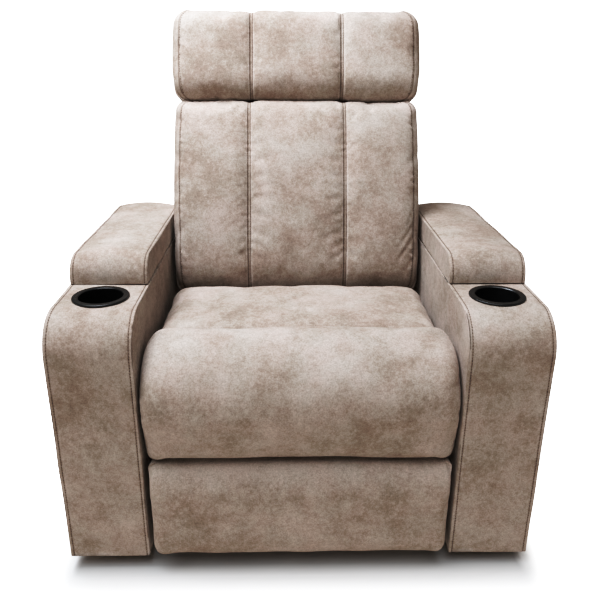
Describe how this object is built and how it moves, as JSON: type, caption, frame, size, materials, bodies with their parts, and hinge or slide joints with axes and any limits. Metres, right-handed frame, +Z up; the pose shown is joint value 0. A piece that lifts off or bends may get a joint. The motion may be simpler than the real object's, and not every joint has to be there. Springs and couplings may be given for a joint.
{
  "type": "cinema recliner seat",
  "caption": "Upholstered powered recliner with wide arms, cup holders, lidded storage, a footrest panel under a rolled front edge, and a tilting headrest.",
  "frame": {"origin": "on the floor under the middle of the seat's bounding box", "axes": "+X to the sitter's left, +Y to the rear, +Z up; the seat looks along -Y"},
  "size_m": [0.9226, 0.8392, 1.0647],
  "materials": {
    "cover_fabric": "matte faux nubuck, taupe, mottled",
    "timber": "plain plywood",
    "painted_steel": "black powder coat",
    "zinc_plate": "zinc plated",
    "black_plastic": "fine grain",
    "cup_plastic": "satin black",
    "button_plastic": "satin dark grey",
    "rubber": "matte"
  },
  "bodies": {
    "base": {"arm_cover_left": "cover_fabric", "arm_cover_right": "cover_fabric", "arm_frame_left": "timber", "arm_frame_right": "timber", "cup_holder_left": "cup_plastic", "cup_holder_right": "cup_plastic", "storage_bin_left": "black_plastic", "storage_bin_right": "black_plastic", "lid_hinges": "zinc_plate", "lid_bumpers": "rubber", "feet": "black_plastic", "base_side_plates": "painted_steel", "base_cross_tubes": "painted_steel", "base_pivot_pins": "zinc_plate", "power_supply": "black_plastic", "drive_bracket": "painted_steel", "switch_plate": "black_plastic"},
    "front_swing": {"front_swing_links": "painted_steel"},
    "rear_swing": {"rear_swing_links": "painted_steel"},
    "recline_link": {"recline_links": "painted_steel"},
    "seat": {"seat_side_plates": "painted_steel", "seat_frame": "timber", "seat_springs": "zinc_plate", "seat_cushion": "cover_fabric", "front_roll": "cover_fabric", "seat_cross_tube": "painted_steel", "seat_pivot_pins": "zinc_plate", "footrest_gear_motor": "black_plastic"},
    "main_link": {"main_links": "painted_steel", "knee_pins": "zinc_plate"},
    "guide_link": {"guide_links": "painted_steel", "drive_tube": "zinc_plate"},
    "reach_link": {"reach_links": "painted_steel"},
    "tilt_link": {"tilt_links": "painted_steel"},
    "footrest": {"footrest_brackets": "painted_steel", "bracket_pins": "zinc_plate", "footrest_board": "timber", "footrest_pad": "cover_fabric"},
    "drive_housing": {"recline_drive_housing": "black_plastic"},
    "drive_rod": {"recline_drive_rod": "zinc_plate"},
    "back": {"back_frame": "timber", "back_springs": "zinc_plate", "back_hinge_plates": "painted_steel", "back_cushion": "cover_fabric", "back_rear_panel": "cover_fabric", "headrest_hinges_lower": "zinc_plate"},
    "headrest": {"headrest_hinges_upper": "zinc_plate", "headrest_board": "timber", "headrest_cushion": "cover_fabric", "headrest_rear_panel": "cover_fabric"},
    "lid_left": {"lid_pad_left": "cover_fabric", "lid_board_left": "timber", "lid_leaf_left": "zinc_plate"},
    "lid_right": {"lid_pad_right": "cover_fabric", "lid_board_right": "timber", "lid_leaf_right": "zinc_plate"},
    "recline_up": {"button_recline_up": "button_plastic"},
    "recline_down": {"button_recline_down": "button_plastic"},
    "foot_up": {"button_foot_up": "button_plastic"},
    "foot_down": {"button_foot_down": "button_plastic"}
  },
  "joints": [
    {"name": "recline", "type": "hinge", "parent": "base", "child": "front_swing", "pos_m": [0, -0.21875, 0.09185], "axis": [1, 0, 0], "range_deg": [0, 40]},
    {"name": "rear_swing", "type": "hinge", "parent": "base", "child": "rear_swing", "pos_m": [0, -0.02375, 0.09185], "axis": [1, 0, 0], "range_deg": [0, 40]},
    {"name": "seat_carry", "type": "hinge", "parent": "front_swing", "child": "seat", "pos_m": [0, -0.17549, 0.225], "axis": [1, 0, 0], "range_deg": [-40, 0]},
    {"name": "recline_link", "type": "hinge", "parent": "base", "child": "recline_link", "pos_m": [0, 0.06932, 0.0845], "axis": [1, 0, 0], "range_deg": [0, 28.2]},
    {"name": "back", "type": "hinge", "parent": "seat", "child": "back", "pos_m": [0, 0.06452, 0.372], "axis": [-1, 0, 0], "range_deg": [0, 40]},
    {"name": "drive_swing", "type": "hinge", "parent": "base", "child": "drive_housing", "pos_m": [0, 0.14952, 0.1], "axis": [1, 0, 0], "range_deg": [0, 8]},
    {"name": "drive_rod", "type": "slide", "parent": "drive_housing", "child": "drive_rod", "axis": [0, -0.8834, 0.4687], "range_m": [0, 0.0865]},
    {"name": "headrest", "type": "hinge", "parent": "back", "child": "headrest", "pos_m": [0, 0.21853, 0.88057], "axis": [1, 0, 0], "range_deg": [0, 30]},
    {"name": "footrest", "type": "hinge", "parent": "seat", "child": "main_link", "pos_m": [0, -0.26049, 0.222], "axis": [-1, 0, 0], "range_deg": [0, 109.9]},
    {"name": "guide_link", "type": "hinge", "parent": "seat", "child": "guide_link", "pos_m": [0, -0.23189, 0.247], "axis": [-1, 0, 0], "range_deg": [0, 110.4]},
    {"name": "reach_link", "type": "hinge", "parent": "main_link", "child": "reach_link", "pos_m": [0, -0.166, 0.07138], "axis": [-1, 0, 0], "range_deg": [-107.9, 0]},
    {"name": "footrest_panel", "type": "hinge", "parent": "reach_link", "child": "footrest", "pos_m": [0, -0.32809, 0.16839], "axis": [-1, 0, 0], "range_deg": [0, 86]},
    {"name": "tilt_link", "type": "hinge", "parent": "main_link", "child": "tilt_link", "pos_m": [0, -0.1656, 0.09908], "axis": [-1, 0, 0], "range_deg": [-109.4, 0]},
    {"name": "lid_left", "type": "hinge", "parent": "base", "child": "lid_left", "pos_m": [0.381, 0.26471, 0.5446], "axis": [-1, 0, 0], "range_deg": [0, 85]},
    {"name": "lid_right", "type": "hinge", "parent": "base", "child": "lid_right", "pos_m": [-0.381, 0.26471, 0.5446], "axis": [-1, 0, 0], "range_deg": [0, 85]},
    {"name": "recline_up_press", "type": "slide", "parent": "base", "child": "recline_up", "axis": [1, 0, 0], "range_m": [0, 0.0015], "stiffness_N_per_m": 1000, "springref_m": -0.001},
    {"name": "foot_up_press", "type": "slide", "parent": "base", "child": "foot_up", "axis": [1, 0, 0], "range_m": [0, 0.0015], "stiffness_N_per_m": 1000, "springref_m": -0.001},
    {"name": "recline_down_press", "type": "slide", "parent": "base", "child": "recline_down", "axis": [1, 0, 0], "range_m": [0, 0.0015], "stiffness_N_per_m": 1000, "springref_m": -0.001},
    {"name": "foot_down_press", "type": "slide", "parent": "base", "child": "foot_down", "axis": [1, 0, 0], "range_m": [0, 0.0015], "stiffness_N_per_m": 1000, "springref_m": -0.001}
  ],
  "couplings": [
    {"joint": "rear_swing", "follows": "recline", "ratio": 1},
    {"joint": "seat_carry", "follows": "recline", "ratio": -1},
    {"joint": "recline_link", "follows": "recline", "ratio": 0.7025},
    {"joint": "back", "follows": "recline", "ratio": 1},
    {"joint": "drive_swing", "follows": "recline", "ratio": 0.198},
    {"joint": "drive_rod", "follows": "recline", "m_per_rad": 0.12362},
    {"joint": "guide_link", "follows": "footrest", "ratio": 1.0036},
    {"joint": "reach_link", "follows": "footrest", "ratio": -0.98089},
    {"joint": "footrest_panel", "follows": "footrest", "ratio": 0.78162},
    {"joint": "tilt_link", "follows": "footrest", "ratio": -0.995}
  ]
}
